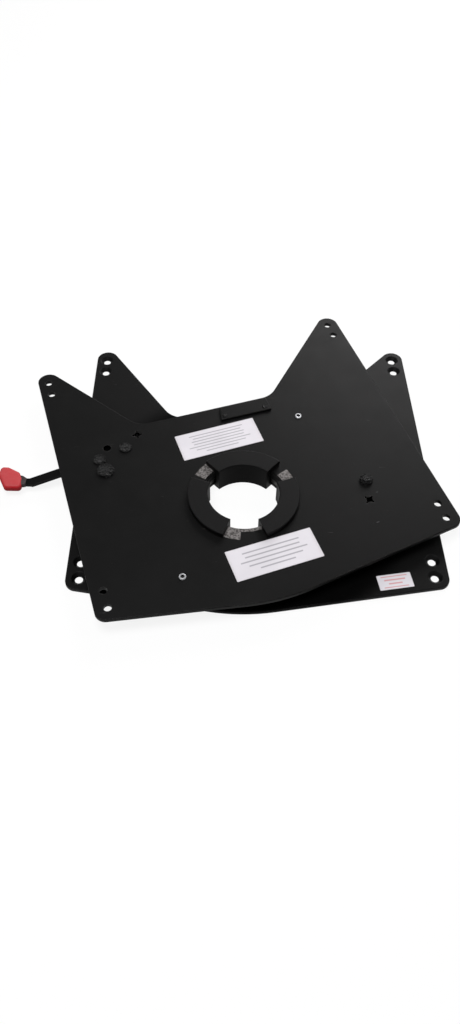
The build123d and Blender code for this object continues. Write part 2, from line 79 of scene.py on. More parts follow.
# Turn of the upper plate at rest, and the arcs of the hub's segments on the lower plate, in degrees
REST_TURN = 17.4
SEGMENT_ARCS = ((47.5, 132.5), (159.5, 248.0), (-67.5, 20.5))
# Heights over which a face turns into the upper plate's top, and rows that lead into the hub's front gap
UPPER_FACE: Range = (0.0244, 0.0246)
FRONT_GAP: Range = (-0.040, -0.043)
# Millimetres in a metre, and finer octaves of the broad patterns
PER_METRE = 1000.0
BROAD = 4.0


class Body(Enum):
    """Moving bodies that rebuilt pieces ride on."""

    TURNTABLE = "turntable"
    LEVER = "lever"


class Slot(Enum):
    """Material slots of the part's record."""

    PLATE = "plate_paint"
    HUB = "hub_paint"
    LOCK = "lock_steel"
    NYLON = "nylon"
    BLACK = "black_fastener"
    ZINC = "zinc"
    SPRING = "spring_steel"
    LABEL = "label_film"
    LEVER = "lever_paint"
    LATCH = "latch_steel"
    KNOB = "knob_red"


@dataclass(frozen=True)
class Pattern:
    """Noise pattern: waves per metre, finer octaves, and the values that become 0 and 1."""

    scale: float
    detail: float
    limits: Range
    stretch: Space = (1.0, 1.0, 1.0)


class Graph:
    """Small helper that adds shader nodes and links them."""

    def __init__(self, name: str) -> None:
        """Make an empty node material.

        Args:
            name: Name of the material.
        """
        self.material = bpy.data.materials.new(name)
        self.material.use_nodes = True
        self.tree = self.material.node_tree
        self.tree.nodes.clear()
        self.output = self.node("OutputMaterial")
        self.coords = self.node("TexCoord").outputs["Object"]

    def node(self, kind: str, *values: object, **settings: object) -> bpy.types.Node:
        """Add a node.

        Args:
            kind: Node type, without the word that all of them start with.
            values: What goes into its first inputs, in order.
            settings: Properties of the node.

        Returns:
            The new node.
        """
        made = self.tree.nodes.new("ShaderNode" + kind)
        for key, value in settings.items():
            setattr(made, key, value)
        for socket, value in zip(made.inputs, values):
            self.put(socket, value)
        return made

    def put(self, socket: Socket, value: object) -> None:
        """Set or link an input socket.

        Args:
            socket: The input to fill.
            value: Another node's output, or a constant.
        """
        if isinstance(value, bpy.types.NodeSocket):
            self.tree.links.new(value, socket)
        elif isinstance(value, tuple) and len(value) == 3 and socket.type == "RGBA":
            socket.default_value = (*value, 1.0)
        else:
            socket.default_value = value

    def math(self, operation: str, *values: object) -> Socket:
        """Combine numbers by a named operation."""
        return self.node("Math", *values, operation=operation).outputs[0]

    def product(self, first: object, *others: object) -> Socket:
        """Multiply values in turn.

        Args:
            first: First value.
            others: What it is multiplied by.

        Returns:
            The product.
        """
        made = first
        for value in others:
            made = self.math("MULTIPLY", made, value)
        return made

    def vector(self, operation: str, *values: object) -> bpy.types.Node:
        """Combine vectors by a named operation."""
        return self.node("VectorMath", *values, operation=operation)

    def axes(self, value: Socket) -> tuple[Socket, Socket, Socket]:
        """Split a vector into its X, Y and Z."""
        return tuple(self.node("SeparateXYZ", value).outputs)

    def reach(self, place: Point = (0.0, 0.0)) -> Socket:
        """Measure the distance from an upright line.

        Args:
            place: X and Y of the line, which is the swivel axis unless another is named.

        Returns:
            The distance in metres.
        """
        offset = self.vector("SUBTRACT", self.coords, (*place, 0.0)).outputs[0]
        level = self.vector("MULTIPLY", offset, (1.0, 1.0, 0.0)).outputs[0]
        return self.vector("LENGTH", level).outputs["Value"]

    def upward(self, normal: str) -> Socket:
        """How far a face looks up by the named normal, from 1 straight up to 0 on a wall."""
        return self.axes(self.node("NewGeometry").outputs[normal])[2]

    def ramp(self, value: object, low: float, high: float) -> Socket:
        """Map low to 0 and high to 1 smoothly; with low above high the result falls."""
        limits = (low, high, 0.0, 1.0) if low < high else (high, low, 1.0, 0.0)
        return self.node("MapRange", value, *limits, interpolation_type="SMOOTHSTEP").outputs[0]

    def noise(self, scale: float, detail: float = 3.0, stretch: Space = (1.0, 1.0, 1.0)) -> Socket:
        """Add a noise pattern in the piece's own space.

        Args:
            scale: Waves per metre.
            detail: Number of finer octaves.
            stretch: Factors for each axis.

        Returns:
            The noise value, about 0.5 on average.
        """
        made = self.node("TexNoise", self.vector("MULTIPLY", self.coords, stretch).outputs[0])
        made.inputs["Scale"].default_value = scale
        made.inputs["Detail"].default_value = detail
        return made.outputs[0]

    def spots(self, pattern: Pattern) -> Socket:
        """Add a noise pattern and keep its highest places, as 1 on the spots and 0 between them."""
        return self.ramp(self.noise(pattern.scale, pattern.detail, pattern.stretch), *pattern.limits)

    def mix(self, share: object, first: object, second: object) -> Socket:
        """Mix two colours.

        Args:
            share: Share of the second colour.
            first: First colour.
            second: Second colour.

        Returns:
            The mixed colour.
        """
        # The seventh and the eighth input of this node take colours, the third and the fourth take numbers
        made = self.node("Mix", share, data_type="RGBA")
        self.put(made.inputs[6], first)
        self.put(made.inputs[7], second)
        return made.outputs[2]

    def blend(self, share: object, first: object, second: object) -> Socket:
        """Mix two numbers.

        Args:
            share: Share of the second number.
            first: First number.
            second: Second number.

        Returns:
            The mixed number.
        """
        made = self.node("Mix", share, data_type="FLOAT")
        self.put(made.inputs[2], first)
        self.put(made.inputs[3], second)
        return made.outputs[0]

    def rounded(self, radius: float) -> Socket:
        """Normal of the face as if its edges had this radius, in metres."""
        return self.node("Bevel", radius, samples=4).outputs[0]

    def edge(self, radius: float, low: float, high: float) -> Socket:
        """Find edges from how much a rounded normal leaves the face's own.

        Args:
            radius: Reach of the edge in metres.
            low: Difference where the edge starts.
            high: Difference where it is full.

        Returns:
            1 on edges, 0 elsewhere.
        """
        flat = self.node("NewGeometry").outputs["Normal"]
        likeness = self.vector("DOT_PRODUCT", self.rounded(radius), flat).outputs["Value"]
        return self.ramp(self.math("SUBTRACT", 1.0, likeness), low, high)

    def bump(self, height: object, strength: float, distance: float, soft_edge: float = 0.0) -> Socket:
        """Turn a height into a normal.

        Args:
            height: Height pattern.
            strength: Share of the effect.
            distance: Height of a full step in metres.
            soft_edge: Radius by which edges look rounded, in metres.

        Returns:
            The normal.
        """
        made = self.node("Bump", strength, distance)
        self.put(made.inputs["Height"], height)
        if soft_edge > 0:
            self.put(made.inputs["Normal"], self.rounded(soft_edge))
        return made.outputs[0]

    def surface(self, **values: object) -> bpy.types.Material:
        """Finish the material with one surface shader.

        Args:
            values: Inputs of the shader, with underscores for spaces.

        Returns:
            The material.
        """
        shader = self.node("BsdfPrincipled")
        for key, value in values.items():
            self.put(shader.inputs[key.replace("_", " ")], value)
        self.put(self.output.inputs["Surface"], shader.outputs[0])
        return self.material


def shade(colour: Colour, factor: float) -> Colour:
    """Make a colour paler or darker by a factor, with no part above 1."""
    return tuple(min(1.0, part * factor) for part in colour)


@dataclass(frozen=True)
class ScrapedSteel:
    """Scraped metal with fine dark pits."""

    pale: Colour = (0.196, 0.185, 0.181)
    pit: Colour = (0.064, 0.059, 0.057)
    pits: Pattern = Pattern(460.0, 6.0, (0.40, 0.60))
    rough: float = 0.42
    metallic: float = 0.3

    def tint(self, graph: Graph) -> Socket:
        """Colour of the metal, for the material being made."""
        return graph.mix(graph.spots(self.pits), self.pale, self.pit)


@dataclass(frozen=True)
class BareArcs:
    """Places on the upper plate that are rubbed bare at the hub. Sizes are in metres, fades in radians."""

    inner: Range = (0.0508, 0.0514)
    outer: Range = (0.0628, 0.0620)
    lip: Range = (0.0515, 0.0509)
    wobble: float = 0.0016
    wobble_scale: float = 420.0
    rear_rows: Range = (0.0, 0.045)
    rear_spread: float = 0.0031
    fade_out: float = 0.012
    fade_in: float = 0.006

    def arcs(self, graph: Graph, across: Socket, deep: Socket) -> object:
        """Find the stretches that the flanges cover with the plates in line.

        Args:
            graph: The material being made.
            across: X of the place.
            deep: Y of the place.

        Returns:
            1 under a flange, 0 between them.
        """
        turn = graph.math("ARCTAN2", deep, across)
        found: object = 0.0
        for start, end in SEGMENT_ARCS:
            middle = math.radians(REST_TURN + (start + end) / 2)
            half = math.radians((end - start) / 2)
            off = graph.math("WRAP", graph.math("SUBTRACT", turn, middle), -math.pi, math.pi)
            inside = graph.ramp(graph.math("ABSOLUTE", off), half + self.fade_out, half - self.fade_in)
            found = graph.math("MAXIMUM", found, inside)
        return found

    def mask(self, graph: Graph) -> Socket:
        """Where the metal is bare.

        Args:
            graph: The material being made.

        Returns:
            1 on bare metal, 0 on the coat.
        """
        across, deep, height = graph.axes(graph.coords)
        wobble = graph.product(graph.math("SUBTRACT", graph.noise(self.wobble_scale), 0.5), self.wobble)
        reach = graph.math("ADD", graph.reach(), wobble)
        found = graph.product(self.arcs(graph, across, deep), graph.ramp(reach, *self.inner))
        lip = graph.product(graph.ramp(reach, *self.lip), graph.ramp(deep, *FRONT_GAP))
        found = graph.math("MAXIMUM", found, lip)
        further = graph.product(graph.ramp(deep, *self.rear_rows), self.rear_spread)
        ring = graph.ramp(graph.math("SUBTRACT", reach, further), *self.outer)
        return graph.product(found, ring, graph.ramp(height, *UPPER_FACE))


@dataclass(frozen=True)
class Chip:
    """Small knock in the upper plate's coat. Sizes are in metres, the turn is in radians."""

    place: Point
    height: float = 0.0247
    turn: float = 0.35
    size: Space = (0.0022, 0.0005, 0.002)
    ragged: float = 1.1
    ragged_scale: float = 900.0
    fade: Range = (1.5, 1.1)
    depth: float = 0.55
    steel: Colour = (0.11, 0.11, 0.115)

    def mask(self, graph: Graph) -> Socket:
        """Where the coat is gone.

        Args:
            graph: The material being made.

        Returns:
            The share that the steel shows.
        """
        placed = ((*self.place, self.height), (0.0, 0.0, self.turn), self.size)
        offset = graph.node("Mapping", graph.coords, *placed, vector_type="TEXTURE")
        reach = graph.vector("LENGTH", offset.outputs[0]).outputs["Value"]
        rough_edge = graph.math("ADD", reach, graph.product(graph.noise(self.ragged_scale), self.ragged))
        return graph.product(graph.ramp(rough_edge, *self.fade), self.depth)


@dataclass(frozen=True)
class ShadedHole:
    """Small open hole whose wall gets painted shade: a near-black colour and no sheen."""

    place: Point
    fade: Range = (0.0070, 0.0063)
    steep: Range = (0.9, 0.6)
    # Painted shade on the hole's wall
    wall: Colour = (0.0003, 0.0003, 0.0003)

    def mask(self, graph: Graph) -> Socket:
        """Where the painted shade on the hole's wall lies, as 1 on the wall and 0 elsewhere."""
        steep = graph.ramp(graph.upward("True Normal"), *self.steep)
        return graph.product(graph.ramp(graph.reach(self.place), *self.fade), steep)


@dataclass(frozen=True)
class Coat:
    """Powder coat or paint on steel. Reaches, edges and heights are in metres."""

    name: str
    colour: Colour
    # Colour of paler edges: partly rubbed wear, partly a painted highlight
    worn_and_highlight: Colour = (0.14, 0.137, 0.133)
    rough: float = 0.47
    gloss: float = 0.10
    grain: float = 0.25
    wear_and_highlight: float = 0.5
    lumps: float = 0.0
    # Reach from the swivel axis within which painted shade dims the coat's sheen, under the upper plate
    under_plate_shade_reach: float = 0.0
    # Reach from the swivel axis within which painted shade takes the coat's sheen away
    inner_shade_reach: float = 0.0
    bare: BareArcs | None = None
    chips: tuple[Chip, ...] = ()
    shaded_holes: tuple[ShadedHole, ...] = ()
    cloud_scale: float = 9.0
    cloud_gain: float = 1.3
    dust_and_sheen: Colour = (0.2, 0.19, 0.18)
    dust_spots: Pattern = Pattern(24.0, 6.0, (0.5, 0.8))
    dust_and_sheen_share: float = 0.005
    mark: Colour = (0.32, 0.31, 0.30)
    specks: Pattern = Pattern(520.0, 4.0, (0.71, 0.78))
    scratches: Pattern = Pattern(60.0, 5.0, (0.735, 0.77), (1.0, 9.0, 1.0))
    mark_share: float = 0.10
    edge_reach: float = 0.0009
    edge_range: Range = (0.05, 0.35)
    edge_spots: Pattern = Pattern(45.0, 4.0, (0.38, 0.6))
    rough_scale: float = 35.0
    rough_spread: Range = (-0.06, 0.08)
    under_plate_shade_fade: float = 0.02
    under_plate_shade_rough: float = 0.30
    under_plate_shade_gloss: float = 0.02
    inner_shade_fade: float = 0.0003
    inner_shade_gloss: float = 0.04
    grain_scale: float = 1500.0
    grain_height: float = 0.00006
    lump_scale: float = 420.0
    soft_edge: float = 0.0013

    def tint(self, graph: Graph) -> Socket:
        """Colour of the coat with its dust, its marks and its paler edges, partly rubbed wear and partly a
        painted highlight.

        Args:
            graph: The material being made.

        Returns:
            The colour.
        """
        clouds = graph.noise(self.cloud_scale, BROAD)
        tint = graph.mix(clouds, self.colour, shade(self.colour, self.cloud_gain))
        tint = graph.mix(graph.product(graph.spots(self.dust_spots), self.dust_and_sheen_share), tint, self.dust_and_sheen)
        marks = graph.math("MAXIMUM", graph.spots(self.specks), graph.spots(self.scratches))
        tint = graph.mix(graph.product(marks, self.mark_share), tint, self.mark)
        # Paler edges: partly rubbed wear, partly a painted highlight where edges catch the light
        edges = graph.edge(self.edge_reach, *self.edge_range)
        return graph.mix(graph.product(edges, graph.spots(self.edge_spots), self.wear_and_highlight), tint, self.worn_and_highlight)

    def relief(self, graph: Graph) -> Socket:
        """Fine grain of the coat, with the lumps of a thick one.

        Args:
            graph: The material being made.

        Returns:
            The height in metres.
        """
        grain = graph.product(graph.noise(self.grain_scale, 2.0), self.grain * self.grain_height)
        if self.lumps > 0:
            return graph.math("ADD", grain, graph.product(graph.noise(self.lump_scale), self.lumps))
        return grain

    def material(self) -> bpy.types.Material:
        """Make the material.

        Returns:
            The material.
        """
        graph = Graph(self.name)
        tint = self.tint(graph)
        low, high = self.rough_spread
        rough = graph.blend(graph.noise(self.rough_scale, BROAD), self.rough + low, self.rough + high)
        gloss: object = self.gloss
        metal: object = 0.0
        # Painted shade under the upper plate: the lower plate's coat loses most of its sheen within this
        # reach
        if self.under_plate_shade_reach > 0:
            fade = self.under_plate_shade_fade
            shaded_under_plate = graph.ramp(graph.reach(), self.under_plate_shade_reach + fade, self.under_plate_shade_reach - fade)
            rough = graph.blend(shaded_under_plate, rough, self.under_plate_shade_rough)
            gloss = graph.blend(shaded_under_plate, gloss, self.under_plate_shade_gloss)
        # Painted shade: inside this reach the coat loses its sheen, darkening the hub's bore and the plate's
        # lip in the hub's gaps
        if self.inner_shade_reach > 0:
            inner = graph.ramp(graph.reach(), self.inner_shade_reach + self.inner_shade_fade, self.inner_shade_reach)
            gloss = graph.blend(inner, gloss, self.inner_shade_gloss)
        for chip in self.chips:
            tint = graph.mix(chip.mask(graph), tint, chip.steel)
        if self.bare:
            steel = ScrapedSteel()
            mask = self.bare.mask(graph)
            tint = graph.mix(mask, tint, steel.tint(graph))
            rough = graph.blend(mask, rough, steel.rough)
            metal = graph.product(mask, steel.metallic)
        # Painted shade: near-black walls with no sheen in small open holes
        for hole in self.shaded_holes:
            wall = hole.mask(graph)
            tint = graph.mix(wall, tint, hole.wall)
            gloss = graph.blend(wall, gloss, 0.0)
        return graph.surface(
            Base_Color=tint,
            Roughness=rough,
            Metallic=metal,
            Specular_IOR_Level=gloss,
            Normal=graph.bump(self.relief(graph), 1.0, 1.0, self.soft_edge),
        )


@dataclass(frozen=True)
class Metal:
    """Plated, drawn or turned metal. Edges and heights are in metres."""

    name: str
    colour: Colour
    dark: Colour
    rough: float = 0.3
    metallic: float = 1.0
    brush: Space = (1.0, 1.0, 6.0)
    brush_scale: float = 240.0
    grain: float = 0.2
    grain_height: float = 0.00005
    stains: Pattern = Pattern(90.0, 5.0, (0.5, 0.72))
    stain_share: float = 0.6
    edge_reach: float = 0.0005
    edge_range: Range = (0.04, 0.3)
    edge_share: float = 0.4
    edge_gain: float = 1.3
    rough_spread: Range = (-0.08, 0.14)
    soft_edge: float = 0.0003

    def material(self) -> bpy.types.Material:
        """Make the material.

        Returns:
            The material.
        """
        graph = Graph(self.name)
        streaks = graph.noise(self.brush_scale, BROAD, self.brush)
        tint = graph.mix(graph.product(graph.spots(self.stains), self.stain_share), self.colour, self.dark)
        edges = graph.product(graph.edge(self.edge_reach, *self.edge_range), self.edge_share)
        low, high = self.rough_spread
        return graph.surface(
            Base_Color=graph.mix(edges, tint, shade(self.colour, self.edge_gain)),
            Roughness=graph.blend(streaks, self.rough + low, self.rough + high),
            Metallic=self.metallic,
            Normal=graph.bump(streaks, self.grain, self.grain_height, self.soft_edge),
        )


@dataclass(frozen=True)
class ScrapedRim:
    """Stretch of the bush's rim that the hub's front gap leaves open to knocks."""

    joint_place: float = -0.0042
    joint_fade: Range = (0.0003, 0.0007)

    def mask(self, graph: Graph) -> Socket:
        """Where the rim is scraped, on both sides of its joint.

        Args:
            graph: The material being made.

        Returns:
            1 on the scraped rim, 0 elsewhere.
        """
        across, deep, height = graph.axes(graph.coords)
        off = graph.math("ABSOLUTE", graph.math("ADD", across, -self.joint_place))
        joint = graph.ramp(off, *self.joint_fade)
        return graph.product(joint, graph.ramp(deep, *FRONT_GAP), graph.ramp(height, *UPPER_FACE))


@dataclass(frozen=True)
class Plastic:
    """Moulded or dipped plastic. Edges and heights are in metres."""

    name: str
    colour: Colour
    scuffed: Colour
    rough: float = 0.4
    gloss: float = 0.4
    grain: float = 0.2
    rub: float = 0.5
    dust_and_sheen_share: float = 0.0
    scraped: ScrapedRim | None = None
    clouds: Pattern = Pattern(110.0, 4.0, (0.38, 0.68))
    cloud_share: float = 0.3
    edge_reach: float = 0.0010
    edge_range: Range = (0.04, 0.4)
    edge_spots: Pattern = Pattern(260.0, 3.0, (0.4, 0.65))
    # Colour that faces looking up take on: partly dust, partly a painted sheen
    dust_and_sheen: Colour = (0.55, 0.50, 0.50)
    dust_and_sheen_facing: Range = (0.7, 0.98)
    rough_scale: float = 170.0
    rough_spread: Range = (-0.07, 0.1)
    grain_scale: float = 900.0
    grain_height: float = 0.00008
    soft_edge: float = 0.0005

    def material(self) -> bpy.types.Material:
        """Make the material.

        Returns:
            The material.
        """
        graph = Graph(self.name)
        tint = graph.mix(graph.product(graph.spots(self.clouds), self.cloud_share), self.colour, self.scuffed)
        edges = graph.edge(self.edge_reach, *self.edge_range)
        tint = graph.mix(graph.product(edges, graph.spots(self.edge_spots), self.rub), tint, self.scuffed)
        # Faces that look up get paler: partly dust, partly a painted sheen from the light above
        if self.dust_and_sheen_share > 0:
            paler_top = graph.product(graph.ramp(graph.upward("Normal"), *self.dust_and_sheen_facing), self.dust_and_sheen_share)
            tint = graph.mix(paler_top, tint, self.dust_and_sheen)
        if self.scraped:
            tint = graph.mix(self.scraped.mask(graph), tint, ScrapedSteel().tint(graph))
        low, high = self.rough_spread
        return graph.surface(
            Base_Color=tint,
            Roughness=graph.blend(graph.noise(self.rough_scale, BROAD), self.rough + low, self.rough + high),
            Specular_IOR_Level=self.gloss,
            Normal=graph.bump(graph.noise(self.grain_scale), self.grain, self.grain_height, self.soft_edge),
        )


@dataclass(frozen=True)
class Film:
    """Label film: pale, with plain dark rules. Sizes are in metres, the turn in degrees."""

    name: str
    centre: Point
    turn: float
    length: float
    width: float
    paper: Colour = (0.66, 0.635, 0.675)
    paper_clouds: Pattern = Pattern(30.0, 4.0, (0.35, 0.75))
    paper_shade: float = 0.93
    ink: Colour = (0.16, 0.16, 0.18)
    ink_strength: float = 0.6
    rows: int = 9
    rule_share: float = 0.3
    rule_blur: float = 0.04
    rule_half: float = 0.2
    rule_spread: float = 0.2
    end_blur: float = 0.004
    margin: float = 0.1
    margin_blur: float = 0.02
    seed: float = 3.0
    grubby: Colour = (0.35, 0.33, 0.32)
    grubby_edge: Range = (0.46, 0.5)
    grubby_share: float = 0.25
    rough: Range = (0.42, 0.6)
    rough_scale: float = 50.0
    gloss: float = 0.3
    relief: float = 0.2
    relief_scale: float = 70.0
    relief_height: float = 0.0002

    def rules(self, graph: Graph, along: Socket, across: Socket) -> Socket:
        """Lay rules of uneven lengths over the film.

        Args:
            graph: The material being made.
            along: Share of the length.
            across: Share of the width.

        Returns:
            1 on a rule, 0 elsewhere.
        """
        row = graph.product(graph.math("ADD", across, 0.5), float(self.rows))
        stripe = graph.math("ABSOLUTE", graph.math("SUBTRACT", graph.math("FRACT", row), 0.5))
        half_rule = self.rule_share / 2
        stripe = graph.ramp(stripe, half_rule + self.rule_blur, half_rule - self.rule_blur)
        pick = graph.node("TexWhiteNoise", noise_dimensions="1D")
        graph.put(pick.inputs["W"], graph.math("ADD", graph.math("FLOOR", row), self.seed))
        half = graph.math("ADD", graph.product(pick.outputs["Value"], self.rule_spread), self.rule_half)
        beyond = graph.math("SUBTRACT", graph.math("ABSOLUTE", along), half)
        ends = graph.ramp(beyond, self.end_blur, -self.end_blur)
        border = 0.5 - self.margin
        inside = graph.ramp(graph.math("ABSOLUTE", across), border, border - self.margin_blur)
        return graph.product(stripe, inside, ends)

    def material(self) -> bpy.types.Material:
        """Make the material.

        Returns:
            The material.
        """
        graph = Graph(self.name)
        placed = ((*self.centre, 0.0), (0.0, 0.0, math.radians(self.turn)), (self.length, self.width, 1.0))
        made = graph.node("Mapping", graph.coords, *placed, vector_type="TEXTURE")
        along, across, _ = graph.axes(made.outputs[0])
        tint = graph.mix(graph.spots(self.paper_clouds), self.paper, shade(self.paper, self.paper_shade))
        tint = graph.mix(graph.product(self.rules(graph, along, across), self.ink_strength), tint, self.ink)
        outward = graph.math("MAXIMUM", graph.math("ABSOLUTE", along), graph.math("ABSOLUTE", across))
        grime_and_shade = graph.product(graph.ramp(outward, *self.grubby_edge), self.grubby_share)
        return graph.surface(
            Base_Color=graph.mix(grime_and_shade, tint, self.grubby),
            Roughness=graph.blend(graph.noise(self.rough_scale), *self.rough),
            Specular_IOR_Level=self.gloss,
            Normal=graph.bump(graph.noise(self.relief_scale), self.relief, self.relief_height),
        )


@dataclass(frozen=True)
class Floor:
    """Plain white floor and wall that keep the object's shadow."""

    name: str = "floor_white"
    pale: float = 0.9
    grey: float = 0.38
    cloud_scale: float = 2.0
    cloud_gain: float = 1.02
    glow: float = 0.88

    def material(self) -> bpy.types.Material:
        """Make the material.

        Returns:
            The material.
        """
        graph = Graph(self.name)
        rays = graph.node("LightPath").outputs
        seen = graph.math("MAXIMUM", rays["Is Camera Ray"], rays["Is Glossy Ray"])
        seen = graph.math("MAXIMUM", seen, rays["Is Transmission Ray"])
        grey = (self.grey,) * 3
        tint = graph.mix(graph.noise(self.cloud_scale), grey, shade(grey, self.cloud_gain))
        diffuse = graph.node("BsdfDiffuse", graph.mix(seen, tint, (self.pale,) * 3))
        glow = graph.node("Emission", (1.0, 1.0, 1.0), 1.0)
        both = graph.node("MixShader", graph.product(seen, self.glow), diffuse.outputs[0], glow.outputs[0])
        graph.put(graph.output.inputs["Surface"], both.outputs[0])
        return graph.material


def from_bmesh(
    name: str,
    mesh: bmesh.types.BMesh,
    materials: Sequence[bpy.types.Material],
    smooth: bool = True,
) -> bpy.types.Object:
    """Turn a bmesh into a dressed object.

    Args:
        name: Name of the piece.
        mesh: The bmesh, which is freed.
        materials: Its finishes, in the order of the faces' numbers.
        smooth: Shade it smooth.

    Returns:
        The new object.
    """
    bmesh.ops.recalc_face_normals(mesh, faces=mesh.faces)
    data = bpy.data.meshes.new(name)
    mesh.to_mesh(data)
    mesh.free()
    for face in data.polygons:
        face.use_smooth = smooth
    for material in materials:
        data.materials.append(material)
    piece = bpy.data.objects.new(name, data)
    bpy.context.scene.collection.objects.link(piece)
    return piece


def loft(mesh: bmesh.types.BMesh, rings: Sequence[Sequence[Vector]], finish: int = 0) -> None:
    """Join rings of points to a closed skin.

    Args:
        mesh: The bmesh to add to.
        rings: Rings with the same number of points, or a single point for a closed end.
        finish: Number of the finish that the skin takes.
    """
    made = [[mesh.verts.new(point) for point in ring] for ring in rings]
    for low, high in zip(made, made[1:]):
        count = max(len(low), len(high))
        for step in range(count):
            after = step + 1
            lower = [low[step % len(low)], low[after % len(low)]]
            upper = [high[after % len(high)], high[step % len(high)]]
            corners = list(dict.fromkeys(lower + upper))
            mesh.faces.new(corners).material_index = finish


def turns(count: int) -> list[float]:
    """Angles in radians that share out a full circle evenly."""
    return [2 * math.pi * step / count for step in range(count)]


def circle(centre: Point, radius: float, height: float, count: int, flats: int = 0) -> list[Vector]:
    """Points of a level circle, or of an even polygon round it.

    Args:
        centre: X and Y of its middle.
        radius: Its radius, or 0 for one point.
        height: Its height.
        count: Number of points.
        flats: Number of the polygon's flats, or 0 for a circle.

    Returns:
        The points.
    """
    if radius <= 0:
        return [Vector((*centre, height))]
    points = []
    for turn in turns(count):
        reach = radius
        if flats:
            half = math.pi / flats
            reach /= math.cos((turn + half) % (2 * half) - half)
        spoke = Vector((math.cos(turn), math.sin(turn), 0.0)) * reach
        points.append(Vector((*centre, height)) + spoke)
    return points


def lathe(mesh: bmesh.types.BMesh, centre: Point, profile: Sequence[Point], count: int = 72) -> None:
    """Turn a profile of radii and heights round an upright axis, as a skin with count points a ring."""
    loft(mesh, [circle(centre, radius, height, count) for radius, height in profile])


def middle_of(node: str) -> Point:
    """X and Y of the middle of a node's box."""
    low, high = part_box(node)
    return ((low.x + high.x) / 2, (low.y + high.y) / 2)


def stand_in(piece: bpy.types.Object, node: str, body: Body) -> None:
    """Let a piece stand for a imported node.

    Args:
        piece: The piece.
        node: The node it replaces.
        body: The body it rides on.
    """
    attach(piece, body.value)
    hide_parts(node)
    LOG.info("%s replaces %s on %s", piece.name, node, body.value)


@dataclass
class Assembly:
    """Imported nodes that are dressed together."""

    nodes: Nodes

    def dress(self, names: Sequence[str], material: bpy.types.Material, slot: Slot) -> None:
        """Give carried-over nodes their finish.

        Args:
            names: The nodes' names.
            material: Their finish.
            slot: Their material slot; not used.
        """
        for name in names:
            piece = self.nodes[name]
            piece.data.materials.clear()
            piece.data.materials.append(material)
            LOG.info("%s dressed", name)


@dataclass
class Plates(Assembly):
    """The two plates and the strip on the upper one. Places and reaches are in metres."""

    black: Colour = (0.0012, 0.0012, 0.0012)
    # Reach of the painted shade that dims the lower plate's sheen under the upper plate
    under_plate_shade: float = 0.18
    # Reach of the painted shade on the plate's lip in the hub's gaps
    lip: float = 0.0510
    chips: tuple[Chip, ...] = (Chip((0.1544, 0.0055)), Chip((0.1503, -0.0380)))
    shaded_holes: tuple[ShadedHole, ...] = (
        ShadedHole((-0.1631, 0.0746)),
        ShadedHole((-0.1281, 0.0968)),
        ShadedHole((0.1445, -0.0054)),
    )

    def build(self) -> None:
        """Dress the plates."""
        lower = Coat("coat_lower", self.black, under_plate_shade_reach=self.under_plate_shade)
        upper = Coat(
            "coat_upper",
            self.black,
            # Upper plate: stronger paler edges, partly rubbed wear and partly a painted highlight
            wear_and_highlight=0.75,
            inner_shade_reach=self.lip,
            bare=BareArcs(),
            chips=self.chips,
            shaded_holes=self.shaded_holes,
        )
        strip = Coat("coat_strip", self.black, rough=0.5, wear_and_highlight=0.3)
        self.dress(["lower_plate"], lower.material(), Slot.PLATE)
        self.dress(["upper_plate"], upper.material(), Slot.PLATE)
        self.dress(["waist_strip"], strip.material(), Slot.PLATE)


@dataclass
class Hub(Assembly):
    """The three hub segments, the rings round their feet and the plastic pieces. The bore is in metres."""

    # Reach of the painted shade on the wall of the hub's bore
    bore: float = 0.0415

    def build(self) -> None:
        """Dress the hub and its hidden rings."""
        # Painted shade: the bore's wall loses its sheen
        coat = Coat("coat_hub", (0.0020, 0.0019, 0.0020), rough=0.5, wear_and_highlight=0.3, inner_shade_reach=self.bore)
        steel = Metal("steel_lock", (0.060, 0.058, 0.056), (0.025, 0.023, 0.021), rough=0.45)
        nylon = Plastic("nylon_black", (0.0035, 0.0035, 0.0034), (0.012, 0.011, 0.010), rough=0.5, gloss=0.15)
        # Painted shade: the bush is near-black with almost no sheen, for the shade in the hub's gaps; its
        # scraped stretch is real wear
        rim = Plastic(
            "nylon_scraped_painted_shade",
            (0.0007, 0.0007, 0.0007),
            (0.003, 0.003, 0.0028),
            rough=0.5,
            gloss=0.04,
            scraped=ScrapedRim(),
        )
        self.dress(["rear_hub_segment", "left_hub_segment", "right_hub_segment"], coat.material(), Slot.HUB)
        self.dress(["lock_disc", "lock_disc_rivets", "spacer_ring"], steel.material(), Slot.LOCK)
        self.dress(["flange_glides", "glide_block", "adjuster_pads"], nylon.material(), Slot.NYLON)
        self.dress(["flanged_bush"], rim.material(), Slot.NYLON)


@dataclass(frozen=True)
class Dome:
    """Domed head of a bolt or a rivet. Rim and foot are shares of its height and its radius."""

    node: str
    shank: float = 0.004
    rim: float = 0.22
    fullness: float = 2.0
    straight: float = 0.3
    foot: float = 0.985
    steps: int = 14

    def head(self, radius: float, seat: float, tall: float) -> list[Point]:
        """Profile of the head, from its top down to the seat.

        Args:
            radius: Radius of the head.
            seat: Height of the face that it sits on.
            tall: Height of the head.

        Returns:
            Radius and height of each ring.
        """
        rings: list[Point] = [(0.0, seat + tall)]
        for step in range(1, self.steps + 1):
            across = math.sin(math.pi / 2 * step / self.steps)
            rise = (1 - across**self.fullness) ** (1 / self.fullness) if across < 1 else 0.0
            rings.append((radius * across, seat + tall * (self.rim + (1 - self.rim) * rise)))
        return rings + [(radius, seat + self.straight * self.rim * tall), (radius * self.foot, seat)]


